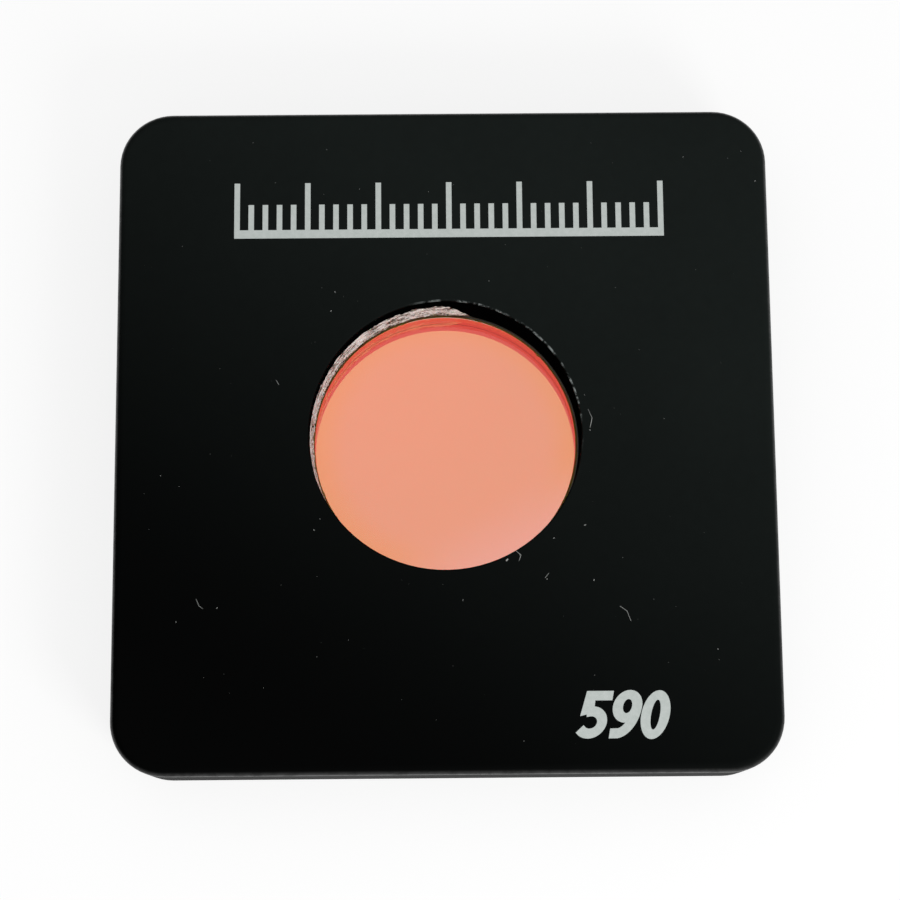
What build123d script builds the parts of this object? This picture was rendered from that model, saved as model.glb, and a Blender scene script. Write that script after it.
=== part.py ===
from build123d import *
import os

# Optical bandpass filter: a round coated glass, bonded into the bore of a black slide-in plate.
# Millimetres, +Z up. The plate lies on its back face, which is in the plane Z = 0, and the origin
# is on that face, under the middle of the plate. +X points to the right edge and +Y to the top
# edge of the front face, the one that carries the print.

# Driving sizes of the plate
plate_width = 61.0
plate_length = 62.2
plate_thickness = 9.0
corner_radius = 5.0
edge_rounding = 0.85
bore_edge_rounding = 0.18

# Driving sizes of the glass
glass_diameter = 25.0
glass_thickness = 3.5
glass_bevel = 0.2

# How the glass sits in the plate
bond_gap = 0.1
front_recess = 5.2
bond_setback = 0.05

# Sizes that follow
glass_radius = glass_diameter / 2
bore_radius = glass_radius + bond_gap
glass_front = plate_thickness - front_recess
glass_back = glass_front - glass_thickness


def make_filter_plate():
    """One moulded plate with rounded corners, soft edges and a plain bore straight through."""
    with BuildPart() as plate:
        with BuildSketch(Plane.XY):
            RectangleRounded(plate_width, plate_length, corner_radius)
        extrude(amount=plate_thickness)
        faces_up = plate.faces().sort_by(Axis.Z)
        outer_edges = faces_up[0].edges() + faces_up[-1].edges()
        fillet(outer_edges, radius=edge_rounding)
        with Locations((0, 0, plate_thickness / 2)):
            Cylinder(bore_radius, plate_thickness, mode=Mode.SUBTRACT)
        bore_edges = plate.edges(Select.LAST).filter_by(GeomType.CIRCLE)
        fillet(bore_edges, radius=bore_edge_rounding)
    return plate.part


def make_filter_glass():
    """The disc of coated glass, with a small ground bevel round both faces."""
    with BuildPart() as glass:
        with BuildSketch(Plane.XZ):
            with BuildLine():
                Polyline(
                    (0, glass_back),
                    (glass_radius - glass_bevel, glass_back),
                    (glass_radius, glass_back + glass_bevel),
                    (glass_radius, glass_front - glass_bevel),
                    (glass_radius - glass_bevel, glass_front),
                    (0, glass_front),
                    close=True,
                )
            make_face()
        revolve(axis=Axis.Z)
    return glass.part


def make_glass_bond():
    """The ring of cement that fills the gap between the glass's ground edge and the bore's wall.

    Its ends creep up the wall a little, past the glass's edge and short of the glass's faces.
    """
    with BuildPart() as bond:
        with BuildSketch(Plane.XZ):
            with BuildLine():
                Polyline(
                    (glass_radius, glass_back + glass_bevel),
                    (bore_radius, glass_back + bond_setback),
                    (bore_radius, glass_front - bond_setback),
                    (glass_radius, glass_front - glass_bevel),
                    close=True,
                )
            make_face()
        revolve(axis=Axis.Z)
    return bond.part


pieces = {
    "filter_plate": make_filter_plate(),
    "filter_glass": make_filter_glass(),
    "glass_bond": make_glass_bond(),
}

os.makedirs("parts", exist_ok=True)
for name, shape in pieces.items():
    export_step(shape, f"parts/{name}.step")
    print(f"{name}: {shape.volume:.1f} mm3, {len(shape.solids())} solid, valid {shape.is_valid}")
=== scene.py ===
# %% [markdown]
# An optical bandpass filter
# A round coated glass sits deep in the bore of a black moulded plate. It lies on a white table and
# the camera looks down on it. The plate comes from the CAD model as it is and gets its finish here.
# The glass, its cement and the print have detail that the CAD model leaves out, so they are built
# here, in metres, in the same frame: Z is up, and Z = 0 is the table.

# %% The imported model
import bpy
import math
import random
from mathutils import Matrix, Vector, noise


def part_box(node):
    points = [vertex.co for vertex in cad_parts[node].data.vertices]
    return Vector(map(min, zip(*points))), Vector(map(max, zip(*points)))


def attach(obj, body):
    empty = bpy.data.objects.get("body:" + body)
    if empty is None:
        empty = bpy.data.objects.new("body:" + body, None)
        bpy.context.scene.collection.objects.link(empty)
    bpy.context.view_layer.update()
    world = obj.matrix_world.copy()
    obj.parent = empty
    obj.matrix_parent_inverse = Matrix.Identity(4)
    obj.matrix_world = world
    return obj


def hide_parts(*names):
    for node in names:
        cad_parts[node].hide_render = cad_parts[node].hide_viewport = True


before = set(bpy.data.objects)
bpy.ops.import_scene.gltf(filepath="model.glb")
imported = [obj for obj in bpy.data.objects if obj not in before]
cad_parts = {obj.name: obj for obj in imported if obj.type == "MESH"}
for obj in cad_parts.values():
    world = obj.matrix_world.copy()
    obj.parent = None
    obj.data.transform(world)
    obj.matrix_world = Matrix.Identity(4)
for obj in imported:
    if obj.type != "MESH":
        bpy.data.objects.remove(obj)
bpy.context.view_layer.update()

# %% [markdown]
# Sizes
# Every piece here meets the CAD solids, so the sizes that they share are read from the nodes' own
# boxes. Only the small ones that the boxes don't give are written out.

# %% Sizes
mm = 0.001
plate_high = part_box("filter_plate")[1]
glass_low, glass_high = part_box("filter_glass")
bond_low, bond_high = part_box("glass_bond")
face_height = plate_high.z
glass_top = glass_high.z
glass_bottom = glass_low.z
glass_radius = glass_high.x
bore_radius = bond_high.x
bevel = 0.2 * mm
print("face at", round(face_height / mm, 2), "mm")
print("glass from", round(glass_bottom / mm, 2), "to", round(glass_top / mm, 2), "mm")

# %% [markdown]
# Camera
# A picture of a flat square tells where the camera stood: the sides lean together a little, and the
# wall of the bore shows on the upper side alone. Those two gave a camera 210 mm above the face,
# leaning 10.6 degrees. The roll turns it about its own line of sight. The focal length is given in
# pixels of the square picture, so that a point of the picture can be carried onto the plate's face.

# %% Camera
picture_px = 900
focal_px = 2282
sensor_width = 36
camera_distance = 210 * mm
camera_tilt = math.radians(10.6)
camera_azimuth = math.radians(-1.5)
camera_roll = math.radians(-0.5)
camera_target = Vector((0.43 * mm, -1.52 * mm, face_height))

away = Vector((
    math.sin(camera_azimuth) * math.sin(camera_tilt),
    -math.cos(camera_azimuth) * math.sin(camera_tilt),
    math.cos(camera_tilt),
))
right = Vector((0, 1, 0)).cross(away).normalized()
up = away.cross(right)
rolled_right = math.cos(camera_roll) * right + math.sin(camera_roll) * up
rolled_up = -math.sin(camera_roll) * right + math.cos(camera_roll) * up


def placed(name, data):
    """A new object in the scene that shows this data."""
    made = bpy.data.objects.new(name, data)
    bpy.context.collection.objects.link(made)
    return made


camera_data = bpy.data.cameras.new("camera")
camera_data.sensor_width = sensor_width
camera_data.lens = focal_px / picture_px * sensor_width
camera_data.clip_start = 0.01
camera_data.clip_end = 10
camera = placed("camera", camera_data)
turn = camera.matrix_world.copy()
for column, axis in enumerate((rolled_right, rolled_up, away)):
    for row in range(3):
        turn[row][column] = axis[row]
turn.translation = camera_target + away * camera_distance
camera.matrix_world = turn
bpy.context.scene.camera = camera
bpy.context.scene.view_settings.view_transform = "Standard"


def on_face(across_px, down_px):
    """Where a point of the picture, counted from its upper left corner, lies on the plate's face."""
    middle = picture_px / 2
    line = rolled_right * (across_px - middle) / focal_px + rolled_up * (middle - down_px) / focal_px - away
    start = camera.matrix_world.translation
    return start + line * ((face_height - start.z) / line.z)


print("camera at", [round(v / mm, 1) for v in camera.matrix_world.translation], "mm")

# %% [markdown]
# Shader arithmetic
# A finish is a small tree of nodes. Written as Python expressions it stays readable: Wire stands for
# one socket and turns + - * / into Math nodes, and Finish makes every other node.

# %% Shader arithmetic
class Wire:
    """A value that runs through a material. Arithmetic on it adds Math nodes."""

    def __init__(self, finish, socket):
        self.finish = finish
        self.socket = socket

    def math(self, operation, first, second):
        return self.finish.add("ShaderNodeMath", {"operation": operation}, {0: first, 1: second})

    def __add__(self, other):
        return self.math("ADD", self, other)

    def __radd__(self, other):
        return self.math("ADD", other, self)

    def __sub__(self, other):
        return self.math("SUBTRACT", self, other)

    def __rsub__(self, other):
        return self.math("SUBTRACT", other, self)

    def __mul__(self, other):
        return self.math("MULTIPLY", self, other)

    def __rmul__(self, other):
        return self.math("MULTIPLY", other, self)

    def __truediv__(self, other):
        return self.math("DIVIDE", self, other)

    def __pow__(self, other):
        return self.math("POWER", self, other)

    def ramp(self, low, high):
        """0 below low, 1 above high and smooth between. It falls where low is the larger one."""
        if low > high:
            return 1 - self.ramp(high, low)
        return self.finish.add(
            "ShaderNodeMapRange", {"interpolation_type": "SMOOTHSTEP"}, {0: self, 1: low, 2: high}
        )

    def either(self, other):
        """The larger of the two."""
        return self.math("MAXIMUM", self, other)


class Finish:
    """One material, with its tree and one way to add a node."""

    def __init__(self, name, tree=None):
        if tree is None:
            self.material = bpy.data.materials.new(name)
            self.material.use_nodes = True
            tree = self.material.node_tree
        self.tree = tree
        self.tree.nodes.clear()

    def add(self, kind, settings=None, sockets=None, out=0):
        """A node with its settings, its inputs as wires or values, and the output that is wanted."""
        node = self.tree.nodes.new(kind)
        for key, value in (settings or {}).items():
            if key == "stops":
                while len(node.color_ramp.elements) < len(value):
                    node.color_ramp.elements.new(0.5)
                for element, (place, colour) in zip(node.color_ramp.elements, value):
                    element.position = place
                    element.color = (*colour, 1)
            else:
                setattr(node, key, value)
        for key, value in (sockets or {}).items():
            socket = node.inputs[key]
            if isinstance(value, Wire):
                self.tree.links.new(value.socket, socket)
            elif socket.type == "RGBA" and len(value) == 3:
                socket.default_value = (*value, 1)
            else:
                socket.default_value = value
        return Wire(self, node.outputs[out]) if node.outputs else None

    def place(self):
        """Object coordinates: metres in the part's own frame."""
        return self.add("ShaderNodeTexCoord", out="Object")

    def parts(self, vector):
        """The three numbers of a vector."""
        split = self.add("ShaderNodeSeparateXYZ", None, {0: vector})
        node = split.socket.node
        return [Wire(self, node.outputs[i]) for i in range(3)]

    def noise(self, vector, size, detail=4.0, roughness=0.5, stretch=(1, 1, 1), offset=(0, 0, 0)):
        """Cloudy noise from 0 to 1. Size is the width of its patches in metres."""
        moved = self.add("ShaderNodeMapping", None, {"Vector": vector, "Scale": stretch, "Location": offset})
        return self.add(
            "ShaderNodeTexNoise", {"noise_dimensions": "3D"},
            {"Vector": moved, "Scale": 1 / size, "Detail": detail, "Roughness": roughness},
        )

    def blend(self, mask, low, high):
        """One colour where the mask is 0 and the other where it is 1."""
        return self.add("ShaderNodeMix", {"data_type": "RGBA"}, {0: mask, 6: low, 7: high}, out=2)

    def bump(self, height, distance, strength):
        """A tilted normal, as if the surface rose by this distance where the height is 1."""
        sockets = {"Height": height, "Distance": distance, "Strength": strength}
        return self.add("ShaderNodeBump", None, sockets)

    def surface(self, shader):
        """Ends the tree with this shader and gives the material back."""
        self.add("ShaderNodeOutputMaterial", None, {0: shader})
        return self.material


print("shader helpers ready")

# %% [markdown]
# Light and table
# The photograph has a pure white ground and a soft light from the lower right, which lights the
# wall of the bore at the upper left and the rounded edge at the lower right. The world is white for
# the camera and through the glass, and dimmer as a lamp. In reflections it is white overhead and
# darker low in the north and the west, as a room is on the side away from its window, so the
# plate's edges there stay black.

# %% World
world = bpy.data.worlds.new("studio")
world.use_nodes = True
bpy.context.scene.world = world
sky = Finish("studio", world.node_tree)
direction = sky.add("ShaderNodeTexCoord", out="Generated")
east, north, high = sky.parts(direction)
rays = sky.add("ShaderNodeLightPath").socket.node
seen = Wire(sky, rays.outputs["Is Camera Ray"]).either(Wire(sky, rays.outputs["Is Transmission Ray"]))
mirrored = Wire(sky, rays.outputs["Is Glossy Ray"])
window_side = (east * 0.78 - north * 0.62).ramp(-0.75, 0.75)
overhead = high.ramp(0.60, 0.88)
mirrored_level = overhead.either(window_side * 0.9) * 0.98 + 0.02
lamp_level = 0.5
level = seen + (1 - seen) * (mirrored * mirrored_level + (1 - mirrored) * lamp_level)
sky.add(
    "ShaderNodeOutputWorld", None,
    {0: sky.add("ShaderNodeBackground", None, {"Color": (1, 1, 1), "Strength": level})},
)


def soft_lamp(name, place, aim, size, power):
    """A square soft box. Place, aim and size are in millimetres, and the power is in watts."""
    data = bpy.data.lights.new(name, "AREA")
    data.shape = "SQUARE"
    data.size = size * mm
    data.energy = power
    lamp = placed(name, data)
    lamp.location = Vector(place) * mm
    line = Vector(aim) * mm - lamp.location
    lamp.rotation_euler = line.to_track_quat("-Z", "Y").to_euler()


soft_lamp("window_lamp", place=(170, -230, 190), aim=(0, 0, 5), size=110, power=0.42)

# %% [markdown]
# The table
# One white sheet. Part of its light is its own as the camera sees it, so that it comes out white,
# and the rest is reflected, so that it keeps the plate's soft shadow. Seen through the glass it
# gives a little more light of its own, because the plate shades it there. It lies just below the
# plate's back, so that the two faces never share one plane.

# %% Table
table_data = bpy.data.meshes.new("table")
reach = 2.0
below_plate = -0.02 * mm
corners = [(x * reach, y * reach, below_plate) for x, y in ((-1, -1), (1, -1), (1, 1), (-1, 1))]
table_data.from_pydata(corners, [], [(0, 1, 2, 3)])
table = placed("table", table_data)
sheet = Finish("white_table")
paths = sheet.add("ShaderNodeLightPath").socket.node
looked_at = Wire(sheet, paths.outputs["Is Camera Ray"])
for kind in ("Is Glossy Ray", "Is Transmission Ray"):
    looked_at = looked_at.either(Wire(sheet, paths.outputs[kind]))
through_glass = Wire(sheet, paths.outputs["Transparent Depth"]).ramp(0.2, 0.8)
own_share = 0.80
more_through_glass = 0.08
own_light = looked_at * (own_share + through_glass * more_through_glass)
glow = sheet.add("ShaderNodeEmission", None, {"Color": (1, 1, 1), "Strength": own_light})
matt = sheet.add("ShaderNodeBsdfDiffuse", None, {"Color": (0.8, 0.8, 0.8)})
dim = sheet.add("ShaderNodeBsdfDiffuse", None, {"Color": (0.28, 0.28, 0.28)})
reflected = sheet.add("ShaderNodeMixShader", None, {0: looked_at, 1: matt, 2: dim})
table_data.materials.append(sheet.surface(sheet.add("ShaderNodeAddShader", None, {0: glow, 1: reflected})))
print("table", reach * 2, "m wide")

# %% [markdown]
# Satin black plate
# The plate is moulded in black plastic with a satin face. What makes it look real is small: a face that isn't
# evenly shiny, a painted sheen that lightens its colour towards the upper right, mottled as if by handling, a
# matt bore, and edges that are polished by handling along their rounding. A Mix Shader lays the polished
# plastic over the matt one, because its shine can then differ as well as its roughness. A second one gives
# the bore's wall painted shade, a flat black that mirrors nothing, and the bore's mouth has a painted
# highlight, a broken pale line on its upper right side.

# %% Satin black plate
black = Finish("satin_black")
spot = black.place()
across, along, tall = black.parts(spot)
from_axis = (across * across + along * along) ** 0.5
handled = black.noise(spot, 14 * mm, detail=5, roughness=0.55)
grain = black.noise(spot, 0.16 * mm, detail=3, roughness=0.6)
speckle = black.noise(spot, 1.1 * mm, detail=6, roughness=0.75)
# Painted sheen: the face's colour is lighter towards the upper right, where the lamp's sheen falls, and
# mottled by handling and speckle noise.
painted_sheen_side = ((across * 0.62 + along) / (44 * mm)).ramp(-0.85, 0.85)
sheen_and_smudges = painted_sheen_side * (0.62 + handled * 0.34 + speckle * 0.30)
face_colour = black.blend(sheen_and_smudges, (0.0003, 0.0004, 0.0004), (0.0125, 0.0160, 0.0148))
# Painted shade: inside the bore the colour is a deeper black.
in_bore = from_axis.ramp(bore_radius + 0.10 * mm, bore_radius + 0.02 * mm)
face_colour = black.blend(in_bore, face_colour, (0.0008, 0.0009, 0.0008))
close_to_bore = from_axis.ramp(bore_radius + 0.19 * mm, bore_radius + 0.12 * mm)
rim = close_to_bore * tall.ramp(face_height - 0.20 * mm, face_height - 0.10 * mm)
# Painted highlight: a broken pale line on the upper right side of the bore's mouth, where the lamp glints on
# its edge.
glint_side = ((across * 0.80 + along * 0.9) / bore_radius).ramp(0.62, 1.05)
glint_breaks = black.noise(spot, 1.3 * mm, detail=6, roughness=0.8).ramp(0.47, 0.62)
painted_rim_glint = rim * (glint_side * glint_breaks)
plate_colour = black.blend(painted_rim_glint * 0.75, face_colour, (0.42, 0.46, 0.45))
face_bump = black.bump(grain, 0.005 * mm, 0.4)
matt_plastic = black.add(
    "ShaderNodeBsdfPrincipled", None,
    {"Base Color": plate_colour, "Roughness": 0.46 + handled * 0.12 + grain * 0.06, "Normal": face_bump,
     "IOR": 1.49, "Specular IOR Level": 0.025},
)
polished_plastic = black.add(
    "ShaderNodeBsdfPrincipled", None,
    {"Base Color": plate_colour, "Roughness": 0.22 + speckle * 0.16, "Normal": face_bump,
     "IOR": 1.49, "Specular IOR Level": 0.28},
)
turned_over = tall.ramp(face_height - 0.10 * mm, face_height - 0.32 * mm)
still_round = tall.ramp(face_height - 1.15 * mm, face_height - 0.80 * mm)
outside = from_axis.ramp(bore_radius + 3 * mm, bore_radius + 5 * mm)
scuffed = 0.55 + speckle.ramp(0.35, 0.60) * 0.45
edge_shine = turned_over * still_round * (outside * scuffed)
# Painted shade: the bore's wall is a flat black that mirrors nothing, so that it stays dark.
shade_black_wall = black.add("ShaderNodeBsdfDiffuse", None, {"Color": (0.001, 0.001, 0.001)})
wall_share = in_bore * (1 - rim)
face_or_bore = black.add("ShaderNodeMixShader", None, {0: wall_share, 1: matt_plastic, 2: shade_black_wall})
plate_shader = black.add("ShaderNodeMixShader", None, {0: edge_shine, 1: face_or_bore, 2: polished_plastic})
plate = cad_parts["filter_plate"]
plate.data.materials.clear()
plate.data.materials.append(black.surface(plate_shader))
print("plate:", len(plate.data.polygons), "faces")

# %% [markdown]
# Coated glass
# The glass lets red and orange light through and mirrors the rest. Over the white table it is red
# where it mirrors the black wall of the bore, and salmon where it mirrors the white room. So the
# coat is a mix of a tinted clear shader and a tinted mirror. It lies a little below the front, under
# a clear cover glass, which makes the red crescent wider. The disc is turned as one closed shell
# with small ground bevels, which a grinder leaves with tiny nicks.

# %% Lathe
def turned_shell(name, profile, turns, wobble=None):
    """Turns a closed profile of (radius, height, slot) about Z. Radius 0 makes a pole."""
    points = []
    faces = []
    slots = []
    rows = []
    for step, (radius, height, slot) in enumerate(profile):
        if radius == 0:
            rows.append([len(points)] * turns)
            points.append((0, 0, height))
            continue
        row = []
        for turn_step in range(turns):
            angle = 2 * math.pi * turn_step / turns
            r, z = (radius, height) if wobble is None else wobble(step, angle, radius, height)
            row.append(len(points))
            points.append((r * math.cos(angle), r * math.sin(angle), z))
        rows.append(row)
    for step in range(len(rows) - 1):
        low, high_row = rows[step], rows[step + 1]
        for i in range(turns):
            j = (i + 1) % turns
            corners = []
            for corner in (low[i], low[j], high_row[j], high_row[i]):
                if corner not in corners:
                    corners.append(corner)
            faces.append(corners)
            slots.append(profile[step + 1][2])
    data = bpy.data.meshes.new(name)
    data.from_pydata(points, [], faces)
    for polygon, slot in zip(data.polygons, slots):
        polygon.material_index = slot
    data.validate()
    return placed(name, data)


print("lathe ready")

# %% Glass disc
front, ground_bevel, clear, inner_side = 0, 1, 2, 3
coat_depth = 0.75 * mm
shell = [
    (0, glass_bottom, clear),
    (glass_radius * 0.5, glass_bottom, clear),
    (glass_radius - bevel, glass_bottom, clear),
    (glass_radius, glass_bottom + bevel, clear),
    (glass_radius, glass_top - coat_depth, inner_side),
    (glass_radius, glass_top - bevel, ground_bevel),
    (glass_radius - bevel * 0.45, glass_top - bevel * 0.5, ground_bevel),
    (glass_radius - bevel, glass_top, ground_bevel),
    (glass_radius * 0.97, glass_top, front),
    (glass_radius * 0.5, glass_top, front),
    (0, glass_top, front),
]
nick_width = 0.42 * mm
nick_depth = 0.35 * mm
nicks_from = 0.36


def nicked(step, angle, radius, height):
    """Cuts tiny nicks into the points of the ground bevel, deepest where it meets the front."""
    round_it = Vector((math.cos(angle), math.sin(angle), 0)) * glass_radius
    chip = noise.noise(round_it / nick_width + Vector((step * 7.0, 3.0, 1.0)))
    deep = max(0.0, chip - nicks_from) * nick_depth
    if shell[step][2] == ground_bevel:
        return radius - deep * (1 if height == glass_top else 0.5), height
    return radius, height


glass = turned_shell("cover_glass", shell, 360, nicked)
coated_face, layer_side = 0, 1
coat_top = glass_top - coat_depth
coat_bottom = coat_top - 0.02 * mm
coat_radius = glass_radius - 0.03 * mm
layer = [
    (0, coat_bottom, coated_face),
    (coat_radius, coat_bottom, layer_side),
    (coat_radius, coat_top, layer_side),
    (0, coat_top, coated_face),
]
coat_disc = turned_shell("coat_layer", layer, 256)
print("glass:", len(glass.data.polygons), "faces")

# %% [markdown]
# The coat
# Its share of mirror is the same all over, but the colour that it mirrors isn't. Near the edge it
# Near the edge it mirrors less blue, which turns the salmon towards orange, and at the lower right its mirror
# colour is raised, a painted reflection that makes the salmon pinker. Both are laid out by the place on the
# glass.

# %% Coat
coat = Finish("bandpass_coat")
on_glass = coat.place()
gx, gy = coat.parts(on_glass)[:2]
out = (gx * gx + gy * gy) ** 0.5
near_edge = (out / glass_radius).ramp(0.72, 1.0)
cloudy = coat.noise(on_glass, 3.0 * mm, detail=5, roughness=0.6)
# Painted reflection: a brighter mirror colour at the lower right of the glass, where a light is mirrored.
reflection_lower_right = ((gx * 0.55 - gy) / glass_radius).ramp(0.55, 1.25)
clear_colour = coat.blend(cloudy, (0.995, 0.112, 0.088), (0.985, 0.120, 0.094))
mirror_colour = coat.blend(near_edge * (1 - reflection_lower_right), (0.500, 0.850, 0.480), (0.50, 0.82, 0.30))
mirror_colour = coat.blend(reflection_lower_right, mirror_colour, (0.54, 1.0, 0.80))
see_through = coat.add("ShaderNodeBsdfTransparent", None, {"Color": clear_colour})
mirror = coat.add("ShaderNodeBsdfGlossy", None, {"Color": mirror_colour, "Roughness": 0.03})
mirror_share = 0.28
coated = coat.add("ShaderNodeMixShader", None, {0: mirror_share, 1: see_through, 2: mirror})
coat_finish = coat.surface(coated)
print("coat mirrors", mirror_share)

# %% [markdown]
# Ground edge and back
# The bevels are ground. Their colour is painted light: a thin yellow and orange line round the rim, as the
# light that runs along inside the glass and scatters there would give, with a few painted green and violet
# glints. The side of the disc, seen from inside the glass, mirrors the table, which is why no dark ring shows
# through. The back is clear, and the cover's front mirrors a little, more where a faint breath of dust lies.

# %% Ground edge and back
ground = Finish("ground_edge")
flicker = ground.noise(ground.place(), 0.9 * mm, detail=5, roughness=0.7)
# The bevel's colour stands for light: the yellow and orange of light scattered in the ground glass, and
# painted green and violet glints.
painted_glint_colour = ground.add(
    "ShaderNodeValToRGB",
    {"stops": [
        (0.30, (0.10, 0.22, 0.05)), (0.42, (0.62, 0.50, 0.08)), (0.52, (0.86, 0.42, 0.10)),
        (0.62, (0.80, 0.25, 0.07)), (0.72, (0.35, 0.10, 0.30)),
    ]},
    {0: flicker},
)
edge_shader = ground.add(
    "ShaderNodeBsdfPrincipled", None,
    {"Base Color": painted_glint_colour, "Roughness": 0.35, "IOR": 1.5, "Specular IOR Level": 0.5},
)
edge_finish = ground.surface(edge_shader)

inner = Finish("edge_seen_from_inside")
inner_mirror = inner.add("ShaderNodeBsdfGlossy", None, {"Color": (0.97, 0.93, 0.90), "Roughness": 0.04})
inner_finish = inner.surface(inner_mirror)

back = Finish("clear_back")
back_clear = back.add("ShaderNodeBsdfTransparent", None, {"Color": (1, 1, 1)})
back_finish = back.surface(back_clear)

cover = Finish("clear_cover")
breath = cover.noise(cover.place(), 2.2 * mm, detail=6, roughness=0.7)
cover_clear = cover.add("ShaderNodeBsdfTransparent", None, {"Color": (1, 1, 1)})
cover_gloss = cover.add("ShaderNodeBsdfGlossy", None, {"Color": (1, 1, 1), "Roughness": 0.05})
gloss_share = 0.030 + breath * 0.016
cover_mix = cover.add("ShaderNodeMixShader", None, {0: gloss_share, 1: cover_clear, 2: cover_gloss})
cover_finish = cover.surface(cover_mix)

for finish in (cover_finish, edge_finish, back_finish, inner_finish):
    glass.data.materials.append(finish)
for finish in (coat_finish, back_finish):
    coat_disc.data.materials.append(finish)
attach(coat_disc, "root")
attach(glass, "root")
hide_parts("filter_glass")
print("glass finishes:", [m.name for m in glass.data.materials])

# %% [markdown]
# Cement
# The glass is held by a ring of cement in the narrow gap round it. At the upper left the cement ran
# out and up the wall of the bore, where it set rough and shiny. A grid that is wrapped round the
# bore makes both: its thickness is the ring's all round, and grows with noise where the run-out is.
# Behind each column of the grid three more points close the ring along the wall and the glass.

# %% Cement
climb_from, climb_full_from = 76, 90
climb_full_to, climb_to = 176, 236


def eased(share):
    """Slow at 0 and at 1, and quick between."""
    kept = min(1.0, max(0.0, share))
    return kept * kept * (3 - 2 * kept)


def run_out(angle):
    """How much cement climbed the wall at this angle, 0 to 1. North is 90 degrees, west 180."""
    turned = math.degrees(angle) % 360
    rise = eased((turned - climb_from) / (climb_full_from - climb_from))
    return rise * eased((climb_to - turned) / (climb_to - climb_full_to))


def wall_noise(angle, height, width, tallness, seed):
    """Noise on the bore's wall. Its patches are given in millimetres."""
    spot_on_wall = Vector((angle * bore_radius / (width * mm), height / (tallness * mm), seed))
    return noise.noise(spot_on_wall)


def on_wall(radius, angle, height):
    return radius * math.cos(angle), radius * math.sin(angle), height


columns = 720
levels = 26
wall = bore_radius - 0.002 * mm
against_glass = glass_radius + 0.005 * mm
thinnest = 0.004 * mm
points = []
for column in range(columns):
    angle = 2 * math.pi * column / columns
    share = run_out(angle)
    ragged = wall_noise(angle, 0, 1.1, 1, 5.0) * 0.5 + wall_noise(angle, 0, 0.32, 1, 9.0) * 0.3
    lift = 0.12 * mm + share * (3.0 + ragged * 1.3) * mm
    for row in range(levels):
        v = row / (levels - 1)
        height = glass_top - bevel * 0.9 + v * (lift + bevel * 0.8)
        body = math.sin(math.pi * min(1.0, v * 0.94 + 0.06)) ** 0.6 if v < 1 else 0.0
        coarse = wall_noise(angle, height, 0.8, 0.34, 1.0)
        fine = wall_noise(angle, height, 0.16, 0.14, 2.0)
        thick = body * (0.045 * mm + share * (0.16 + 0.20 * (coarse * 0.6 + fine * 0.6)) * mm)
        radius = wall - max(thick, thinnest) if row > 0 else against_glass
        points.append(on_wall(radius, angle, height))
for column in range(columns):
    angle = 2 * math.pi * column / columns
    top_of_column = points[column * levels + levels - 1][2]
    points.append(on_wall(wall, angle, top_of_column))
    points.append(on_wall(wall, angle, bond_low.z))
    points.append(on_wall(against_glass, angle, bond_low.z))


def back_strip(column):
    """From the top point of a column over the three behind it to its lowest point."""
    behind = columns * levels + column * 3
    return [column * levels + levels - 1, behind, behind + 1, behind + 2, column * levels]


faces = []
for column in range(columns):
    following = (column + 1) % columns
    for row in range(levels - 1):
        a = column * levels + row
        b = following * levels + row
        faces.append((a, a + 1, b + 1, b))
    here, there = back_strip(column), back_strip(following)
    for k in range(4):
        faces.append((here[k], here[k + 1], there[k + 1], there[k]))
cement_data = bpy.data.meshes.new("cement_run_out")
cement_data.from_pydata(points, [], faces)
cement_data.validate()
cement = placed("cement_run_out", cement_data)
print("cement:", len(cement_data.polygons), "faces")

# %% [markdown]
# The cement's finish
# It set as a skin that is smooth in some places and wrinkled in others. On the upper left, which faces the
# lamp, its streaks carry a painted highlight, pale and broken where its cracks are. Round the rest of the
# glass it is a thin dark line.

# %% Cement finish
skin = Finish("set_cement")
where = skin.place()
cx, cy, cz = skin.parts(where)
round_angle = skin.add("ShaderNodeMath", {"operation": "ARCTAN2"}, {0: cy, 1: cx})
wrapped = skin.add("ShaderNodeCombineXYZ", None, {0: round_angle * bore_radius, 1: cz, 2: 0.0})
streaks = skin.noise(wrapped, 0.55 * mm, detail=6, roughness=0.7, stretch=(0.28, 1.6, 1))
cracks = skin.noise(wrapped, 0.30 * mm, detail=5, roughness=0.7, stretch=(0.7, 1, 1), offset=(3, 1, 0))
above = (cz - glass_top) / mm
north_west = ((cy * 0.8 - cx) / bore_radius).ramp(-0.35, 0.55)
# Painted highlight: pale streaks on the upper left of the run-out, the side that faces the lamp, broken by
# the cracks.
painted_glint = streaks.ramp(0.40, 0.56) * above.ramp(0.25, 0.9) * north_west
skin_and_glint_colour = skin.blend(painted_glint, (0.022, 0.024, 0.018), (0.95, 0.90, 0.89))
cracked = cracks.ramp(0.62, 0.70) * above.ramp(0.2, 0.6)
skin_and_glint_colour = skin.blend(cracked, skin_and_glint_colour, (0.02, 0.018, 0.018))
skin_normal = skin.bump(streaks + cracks * 0.6, 0.05 * mm, 0.8)
skin_shader = skin.add(
    "ShaderNodeBsdfPrincipled", None,
    {"Base Color": skin_and_glint_colour, "Roughness": 0.14 + streaks * 0.25, "Normal": skin_normal,
     "IOR": 1.52, "Specular IOR Level": 0.5},
)
cement_data.materials.append(skin.surface(skin_shader))
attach(cement, "root")
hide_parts("glass_bond")
print("cement finish done")

# %% [markdown]
# White print
# The print is a film of ink a few hundredths of a millimetre thick, with square edges. So each shape
# is drawn as a flat outline, which Blender fills and gives that thickness. It is sunk into the face
# by a few thousandths of a millimetre, so that no gap shows under it. The number is the filter's
# wavelength, and above the bore is a plain graduated scale.

# %% Ink film
ink_height = 0.03 * mm
ink_base = face_height - 0.004 * mm


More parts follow.
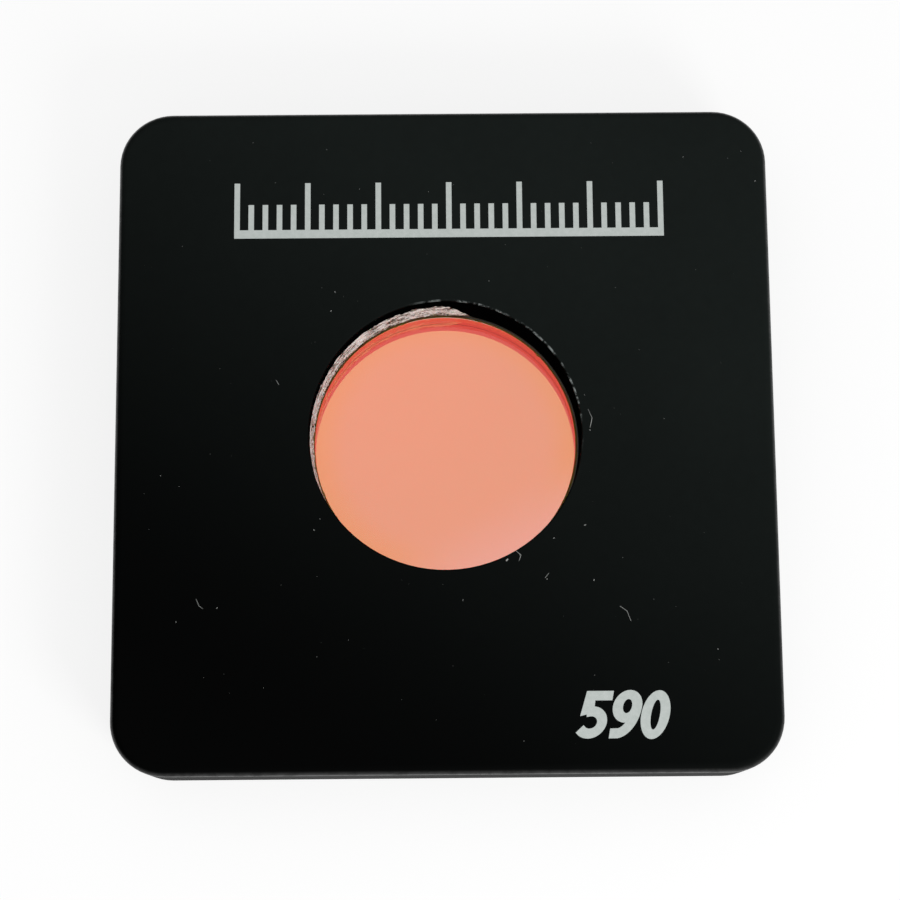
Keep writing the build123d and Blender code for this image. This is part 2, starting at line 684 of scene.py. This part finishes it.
def ink_from_curve(name, curve):
    """Turns a filled curve into a plain mesh."""
    holder = placed(name + "_outline", curve)
    evaluated = holder.evaluated_get(bpy.context.evaluated_depsgraph_get())
    data = bpy.data.meshes.new_from_object(evaluated)
    bpy.data.objects.remove(holder)
    return placed(name, data)


def flat_outlines(name, outlines):
    """Closed polygons, in metres, as one flat filled curve with a little thickness."""
    curve = bpy.data.curves.new(name, "CURVE")
    curve.dimensions = "2D"
    curve.fill_mode = "BOTH"
    curve.extrude = ink_height / 2
    for outline in outlines:
        spline = curve.splines.new("POLY")
        spline.points.add(len(outline) - 1)
        for point, (x, y) in zip(spline.points, outline):
            point.co = (x, y, 0, 1)
        spline.use_cyclic_u = True
    return ink_from_curve(name, curve)


def lift_onto_face(film, shift=(0, 0), lift=0.0):
    """Moves a film that is centred on Z = 0 up onto the face."""
    for vertex in film.data.vertices:
        vertex.co += Vector((shift[0], shift[1], ink_base + ink_height / 2 + lift))
    film.data.update()


print("ink film", ink_height / mm, "mm")

# %% [markdown]
# The number's digits
# A font could make the digits, but its shapes would be another's, so each digit is drawn from
# straight lines and parts of ellipses. It stands in a box about 0.62 wide and 1 high, which is then
# scaled, slanted and set in its place. A digit with a tail is two films, the second a hair higher,
# so that their tops never lie in one plane.

# %% Digits
def arc(centre, radii, start, end, count):
    """Points on an ellipse from one angle to another, in degrees."""
    made = []
    for k in range(count):
        a = math.radians(start + (end - start) * k / (count - 1))
        made.append((centre[0] + radii[0] * math.cos(a), centre[1] + radii[1] * math.sin(a)))
    return made


def ring(centre, radii, count):
    """A whole ellipse as one closed outline."""
    return arc(centre, radii, 0, 360, count)[:-1]


def hole(centre, radii, count):
    """The same the other way round, for the open middle of a digit."""
    return arc(centre, radii, 360, 0, count)[:-1]


def stroke(line, width):
    """A band of even width along an open line of points, as one outline."""
    left = []
    right_side = []
    for k, (x, y) in enumerate(line):
        before = line[max(0, k - 1)]
        after = line[min(len(line) - 1, k + 1)]
        dx, dy = after[0] - before[0], after[1] - before[1]
        length = math.hypot(dx, dy) or 1
        nx, ny = -dy / length * width / 2, dx / length * width / 2
        left.append((x + nx, y + ny))
        right_side.append((x - nx, y - ny))
    return left + right_side[::-1]


thick_stroke = 0.21
five_flag = [
    (0.05, 1.0), (-0.005, 0.47), (0.19, 0.52), (0.275, 0.545), (0.26, 0.80), (0.62, 0.80), (0.62, 1.0),
]
five_bowl = [(0.12, 0.555)] + arc((0.235, 0.335), (0.245, 0.235), 100, -125, 26) + [(0.03, 0.20)]
nine_ring = ring((0.325, 0.670), (0.310, 0.345), 45)
nine_hole = hole((0.325, 0.675), (0.095, 0.150), 33)
nine_tail = arc((0.155, 0.66), (0.375, 0.565), 6, -80, 20) + [(0.04, 0.10)]
nought_ring = ring((0.31, 0.49), (0.305, 0.515), 53)
nought_hole = hole((0.31, 0.49), (0.095, 0.315), 41)
bodies = ([five_flag], [nine_ring, nine_hole], [nought_ring, nought_hole])
tails = ([stroke(five_bowl, thick_stroke)], [stroke(nine_tail, thick_stroke)])

digit_height = 4.25 * mm
lean = math.tan(math.radians(11))
hair = 0.003 * mm
first_digit_px = (576.5, 738.5)
pitch_from_px = (576.5, 738)
pitch_to_px = (637, 738)
corner = on_face(*first_digit_px)
pitch = (on_face(*pitch_to_px).x - on_face(*pitch_from_px).x) / 2


def digit_film(name, index, outlines, lift):
    """Scales and slants the outlines, sets them in the digit's place and lifts them onto the face."""
    left_edge = corner.x + index * pitch
    set_out = []
    for outline in outlines:
        set_out.append([
            ((x + y * lean) * digit_height + left_edge, y * digit_height + corner.y) for x, y in outline
        ])
    film = flat_outlines(name, set_out)
    lift_onto_face(film, lift=lift)
    return film


number_films = []
for index, outlines in enumerate(bodies):
    number_films.append(digit_film(f"digit_{index + 1}", index, outlines, 0.0))
for index, outlines in enumerate(tails):
    number_films.append(digit_film(f"digit_{index + 1}_stroke", index, outlines, hair))
print("number:", len(number_films), "films")

# %% [markdown]
# Graduated scale
# The upper part of the face carries a plain printed scale: a base line with short and long marks.
# Marks that repeat by a rule are work for Geometry Nodes. One tree makes a line of points, puts a
# short bar on each and a longer one on every fifth, and turns them into one plain mesh.

# %% Geometry Nodes helpers
class Growth:
    """A Geometry Nodes tree with named inputs, and one way to add a node."""

    def __init__(self, name, inputs):
        self.tree = bpy.data.node_groups.new(name, "GeometryNodeTree")
        self.defaults = inputs
        for label, (kind, value) in inputs.items():
            self.tree.interface.new_socket(label, in_out="INPUT", socket_type=kind)
        self.tree.interface.new_socket("Geometry", in_out="OUTPUT", socket_type="NodeSocketGeometry")
        self.inputs = self.tree.nodes.new("NodeGroupInput").outputs
        self.result = self.tree.nodes.new("NodeGroupOutput")

    def add(self, kind, settings=None, sockets=None, out=0):
        """A node with its settings and inputs. A list is for a socket that takes several links."""
        node = self.tree.nodes.new(kind)
        for key, value in (settings or {}).items():
            setattr(node, key, value)
        for key, value in (sockets or {}).items():
            for one in value if isinstance(value, list) else [value]:
                if isinstance(one, bpy.types.NodeSocket):
                    self.tree.links.new(one, node.inputs[key])
                else:
                    node.inputs[key].default_value = one
        return node.outputs[out]

    def make(self, name, geometry, material):
        """Ends the tree, runs it on an empty mesh and returns the result as a plain piece."""
        real = self.add("GeometryNodeRealizeInstances", None, {0: geometry})
        finished = self.add("GeometryNodeSetMaterial", None, {"Geometry": real, "Material": material})
        self.tree.links.new(finished, self.result.inputs[0])
        holder = placed(name + "_seed", bpy.data.meshes.new(name + "_seed"))
        modifier = holder.modifiers.new("grow", "NODES")
        modifier.node_group = self.tree
        for item in self.tree.interface.items_tree:
            if item.in_out == "INPUT":
                modifier[item.identifier] = self.defaults[item.name][1]
        evaluated = holder.evaluated_get(bpy.context.evaluated_depsgraph_get())
        data = bpy.data.meshes.new_from_object(evaluated)
        holder.modifiers.clear()
        bpy.data.objects.remove(holder)
        return placed(name, data)


number = "NodeSocketFloat"
whole = "NodeSocketInt"
print("growth helper ready")

# %% [markdown]
# The ink
# White ink on black plastic is never quite white: it lets a little black through, more in one place
# than in the next, and its skin is finely pitted. Noise in two sizes gives both.

# %% White ink
ink = Finish("white_ink")
ink_place = ink.place()
patchy = ink.noise(ink_place, 0.5 * mm, detail=5, roughness=0.65)
pits = ink.noise(ink_place, 0.11 * mm, detail=3, roughness=0.6)
ink_colour = ink.blend(patchy.ramp(0.3, 0.75), (0.64, 0.70, 0.67), (0.73, 0.78, 0.755))
ink_bump = ink.bump(pits, 0.004 * mm, 0.5)
ink_shader = ink.add(
    "ShaderNodeBsdfPrincipled", None,
    {"Base Color": ink_colour, "Roughness": 0.5 + patchy * 0.15, "Normal": ink_bump,
     "Specular IOR Level": 0.3},
)
ink_finish = ink.surface(ink_shader)
print("ink finish done")

# %% [markdown]
# The scale's marks
# Every mark is one instance of a bar that is seated on a point of the line, so its lower end stays
# on the base line whatever its height. Each fifth one is long.

# %% Scale
scale_left_px = (237, 231)
scale_right_px = (661, 231)
scale_left = on_face(*scale_left_px)
scale_right = on_face(*scale_right_px)
marks = 31
stroke_width = 0.52 * mm
ruler = Growth("graduated_scale", {
    "Marks": (whole, marks),
    "Pitch": (number, (scale_right.x - scale_left.x) / (marks - 1)),
    "Stroke": (number, stroke_width),
    "Short": (number, 2.5 * mm),
    "Long": (number, 4.6 * mm),
    "Film": (number, ink_height),
})
step = ruler.add("ShaderNodeCombineXYZ", None, {0: ruler.inputs["Pitch"]})
row = ruler.add("GeometryNodeMeshLine", {"mode": "OFFSET"}, {"Count": ruler.inputs["Marks"], "Offset": step})
order = ruler.add("GeometryNodeInputIndex")
fifth = ruler.add("ShaderNodeMath", {"operation": "MODULO"}, {0: order, 1: 5.0})
is_long = ruler.add("ShaderNodeMath", {"operation": "LESS_THAN"}, {0: fifth, 1: 0.5})
is_short = ruler.add("ShaderNodeMath", {"operation": "GREATER_THAN"}, {0: fifth, 1: 0.5})
bars = []
for chosen, height in ((is_long, "Long"), (is_short, "Short")):
    size = ruler.add(
        "ShaderNodeCombineXYZ", None,
        {0: ruler.inputs["Stroke"], 1: ruler.inputs[height], 2: ruler.inputs["Film"]},
    )
    bar = ruler.add("GeometryNodeMeshCube", None, {"Size": size})
    half = ruler.add("ShaderNodeMath", {"operation": "MULTIPLY"}, {0: ruler.inputs[height], 1: 0.5})
    raised = ruler.add("ShaderNodeCombineXYZ", None, {1: half})
    seated = ruler.add("GeometryNodeTransform", None, {"Geometry": bar, "Translation": raised})
    bars.append(ruler.add(
        "GeometryNodeInstanceOnPoints", None, {"Points": row, "Selection": chosen, "Instance": seated},
    ))
all_bars = ruler.add("GeometryNodeJoinGeometry", None, {0: bars})
scale_piece = ruler.make("graduated_scale", all_bars, ink_finish)
lift_onto_face(scale_piece, shift=(scale_left.x, scale_left.y))
line_left = scale_left.x - stroke_width / 2
line_right = scale_right.x + stroke_width / 2
line_low = scale_left.y - 0.75 * mm
line_high = scale_left.y + 0.05 * mm
base_line = flat_outlines("scale_base_line", [
    [(line_left, line_low), (line_right, line_low), (line_right, line_high), (line_left, line_high)],
])
lift_onto_face(base_line, lift=hair)
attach(scale_piece, "root")
number_films.append(base_line)
print("scale:", marks, "marks,", len(scale_piece.data.polygons), "faces")

# %% [markdown]
# Dust
# A black plate shows every grain that settles on it. Fine grains are low flat crumbs, which one
# Geometry Nodes tree scatters over the face with a fixed seed, clear of the bore. Each crumb has its
# own size and turn.

# %% Dust
dusty = Finish("settled_dust")
dust_tone = dusty.noise(dusty.place(), 1.5 * mm, detail=3)
dust_colour = dusty.blend(dust_tone.ramp(0.3, 0.7), (0.16, 0.17, 0.165), (0.46, 0.47, 0.45))
dust_shader = dusty.add("ShaderNodeBsdfPrincipled", None, {"Base Color": dust_colour, "Roughness": 0.9})
dust_finish = dusty.surface(dust_shader)

bare_margin = 2 * mm
drift = Growth("dust_drift", {
    "Width": (number, plate_high.x * 2 - bare_margin * 2),
    "Length": (number, plate_high.y * 2 - bare_margin * 2),
    "Grains": (number, 34000.0),
    "Keep clear": (number, bore_radius + 0.6 * mm),
    "Grain": (number, 0.030 * mm),
    "Seed": (whole, 11),
})
field = drift.add(
    "GeometryNodeMeshGrid", None,
    {"Size X": drift.inputs["Width"], "Size Y": drift.inputs["Length"], "Vertices X": 2, "Vertices Y": 2},
)
scatter = drift.add(
    "GeometryNodeDistributePointsOnFaces", {"distribute_method": "RANDOM"},
    {"Mesh": field, "Density": drift.inputs["Grains"], "Seed": drift.inputs["Seed"]},
)
position = drift.add("GeometryNodeInputPosition")
from_middle = drift.add("ShaderNodeVectorMath", {"operation": "LENGTH"}, {0: position}, out=1)
over_bore = drift.add(
    "ShaderNodeMath", {"operation": "LESS_THAN"}, {0: from_middle, 1: drift.inputs["Keep clear"]},
)
settled = drift.add(
    "GeometryNodeDeleteGeometry", {"domain": "POINT"}, {"Geometry": scatter, "Selection": over_bore},
)
crumb = drift.add("GeometryNodeMeshIcoSphere", None, {"Radius": drift.inputs["Grain"], "Subdivisions": 1})
flat_crumb = drift.add("GeometryNodeTransform", None, {"Geometry": crumb, "Scale": (1.0, 0.7, 0.4)})
spread = drift.add(
    "FunctionNodeRandomValue", {"data_type": "FLOAT"}, {2: 0.35, 3: 1.5, "Seed": drift.inputs["Seed"]}, out=1,
)
turned_by = drift.add(
    "FunctionNodeRandomValue", {"data_type": "FLOAT"}, {2: 0.0, 3: 6.28, "Seed": 5}, out=1,
)
turn_vector = drift.add("ShaderNodeCombineXYZ", None, {2: turned_by})
grains = drift.add(
    "GeometryNodeInstanceOnPoints", None,
    {"Points": settled, "Instance": flat_crumb, "Scale": spread, "Rotation": turn_vector},
)
dust = drift.make("dust_grains", grains, dust_finish)
for vertex in dust.data.vertices:
    vertex.co.z += face_height
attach(dust, "root")
print("dust:", len(dust.data.polygons), "faces")

# %% [markdown]
# Flecks and fibres
# A few larger flecks and short fibres stand out on the face, most of them near the bore. They are
# placed one by one, by where they lie in the picture, as thin tubes that taper at both ends. A fleck
# is a short thick one that lies at a random angle.

# %% Flecks and fibres
flecks_px_and_mm = [
    (507, 560, 0.17), (585, 525, 0.13), (594, 580, 0.10), (554, 538, 0.09), (547, 579, 0.07),
    (463, 600, 0.08), (320, 519, 0.07), (314, 530, 0.09), (335, 292, 0.08), (331, 311, 0.10),
    (176, 622, 0.08), (217, 608, 0.09), (683, 157, 0.07), (755, 181, 0.08), (489, 281, 0.06),
    (520, 555, 0.07), (718, 649, 0.07), (590, 430, 0.08),
]
fibres_px = [
    [(196, 599), (199, 606), (203, 609)], [(620, 606), (627, 611), (631, 621)],
    [(588, 409), (592, 418), (590, 428)], [(516, 551), (521, 555), (519, 561)],
    [(276, 380), (279, 385)], [(545, 578), (549, 573)],
]
tube_sides = 5
loose = bpy.data.meshes.new("loose_flecks")
loose_points = []
loose_faces = []


def add_tube(path, thickness):
    """A thin tube along a path, thinner towards both ends and closed there."""
    start = len(loose_points)
    for index, spot_here in enumerate(path):
        ahead = path[min(index + 1, len(path) - 1)] - path[max(index - 1, 0)]
        side = Vector((-ahead.y, ahead.x, 0)).normalized()
        taper = thickness * (0.45 + 0.55 * math.sin(math.pi * (index + 0.5) / len(path)))
        for turn_step in range(tube_sides):
            angle = 2 * math.pi * turn_step / tube_sides
            sideways = side * math.cos(angle) * taper
            loose_points.append(spot_here + sideways + Vector((0, 0, math.sin(angle) * taper)))
    for index in range(len(path) - 1):
        for turn_step in range(tube_sides):
            a = start + index * tube_sides + turn_step
            b = start + index * tube_sides + (turn_step + 1) % tube_sides
            loose_faces.append((a, b, b + tube_sides, a + tube_sides))
    loose_faces.append([start + k for k in reversed(range(tube_sides))])
    loose_faces.append([start + (len(path) - 1) * tube_sides + k for k in range(tube_sides)])


shaker = random.Random(4)
for across_px, down_px, size in flecks_px_and_mm:
    middle = on_face(across_px, down_px)
    angle = shaker.uniform(0, math.pi)
    half_length = Vector((math.cos(angle), math.sin(angle), 0)) * size * mm * 0.8
    seat = Vector((0, 0, size * mm * 0.25))
    add_tube([middle + half_length * t + seat for t in (-1, -0.4, 0.3, 1)], size * mm * 0.5)
fibre_radius = 0.035 * mm
fibre_seat = Vector((0, 0, 0.03 * mm))
for line in fibres_px:
    bends = [on_face(*point_px) + fibre_seat for point_px in line]
    path = []
    for first, second in zip(bends, bends[1:]):
        path += [first.lerp(second, t) for t in (0, 0.25, 0.5, 0.75)]
    add_tube(path + [bends[-1]], fibre_radius)
loose.from_pydata(loose_points, [], loose_faces)
loose.materials.append(dust_finish)
loose_piece = placed("loose_flecks", loose)
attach(loose_piece, "root")
print("flecks and fibres:", len(flecks_px_and_mm) + len(fibres_px))

# %% [markdown]
# The last step
# The films of ink all get one finish and lie on the plate, so they move with it.

# %% Finish and end
for film_piece in number_films:
    film_piece.data.materials.clear()
    film_piece.data.materials.append(ink_finish)
    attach(film_piece, "root")
